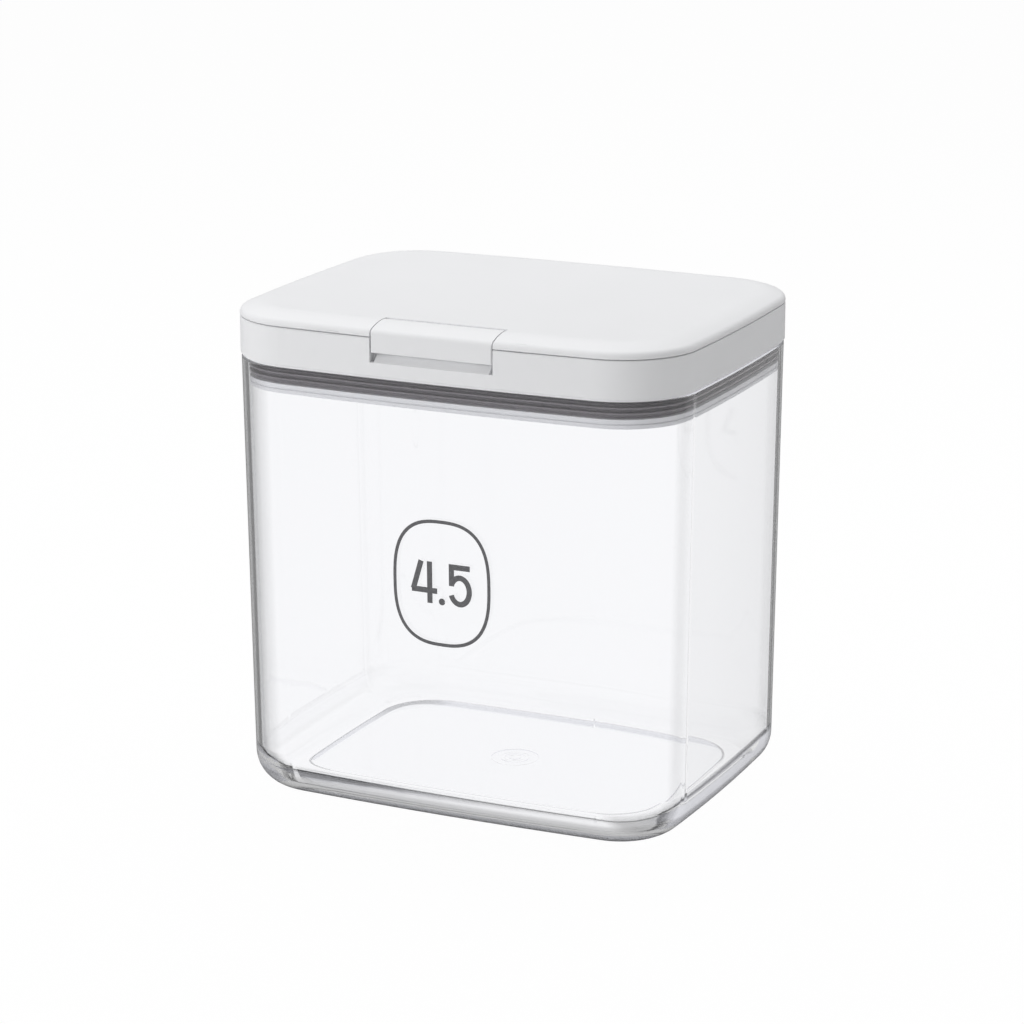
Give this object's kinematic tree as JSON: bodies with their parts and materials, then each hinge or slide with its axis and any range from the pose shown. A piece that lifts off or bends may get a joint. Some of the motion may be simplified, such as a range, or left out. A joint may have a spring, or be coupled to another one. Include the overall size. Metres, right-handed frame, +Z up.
{
  "type": "flour canister",
  "caption": "Clear soft-rectangular food canister with a white lid that plugs into the jar with a lip gasket and has a rear-hinged cover held by a front latch tab.",
  "frame": {"origin": "centre of the jar's standing face", "axes": "+Z up, -Y to the front with the latch tab, +X to the right seen from the front"},
  "size_m": [0.198, 0.1532, 0.2034],
  "materials": {
    "clear_plastic": "polished clear moulding",
    "white_plastic": "satin",
    "grey_silicone": "satin",
    "pale_silicone": "satin",
    "steel": "drawn"
  },
  "bodies": {
    "jar": {"jar": "clear_plastic"},
    "collar": {"collar_ring": "white_plastic", "plug_frame": "white_plastic", "jar_gasket": "grey_silicone", "hinge_pin_left": "steel", "hinge_pin_right": "steel"},
    "cover": {"cover_shell": "white_plastic", "cover_liner": "white_plastic", "cover_gasket": "pale_silicone", "latch_pin": "steel"},
    "latch": {"latch": "white_plastic"}
  },
  "joints": [
    {"name": "lid_lift", "type": "slide", "parent": "jar", "child": "collar", "axis": [0, 0, 1], "range_m": [0, 0.06]},
    {"name": "cover_hinge", "type": "hinge", "parent": "collar", "child": "cover", "pos_m": [0, 0.07364, 0.1895], "axis": [-1, 0, 0], "range_deg": [0, 95]},
    {"name": "latch_pivot", "type": "hinge", "parent": "cover", "child": "latch", "pos_m": [0, -0.0644, 0.2014], "axis": [-1, 0, 0], "range_deg": [0, 40]}
  ]
}
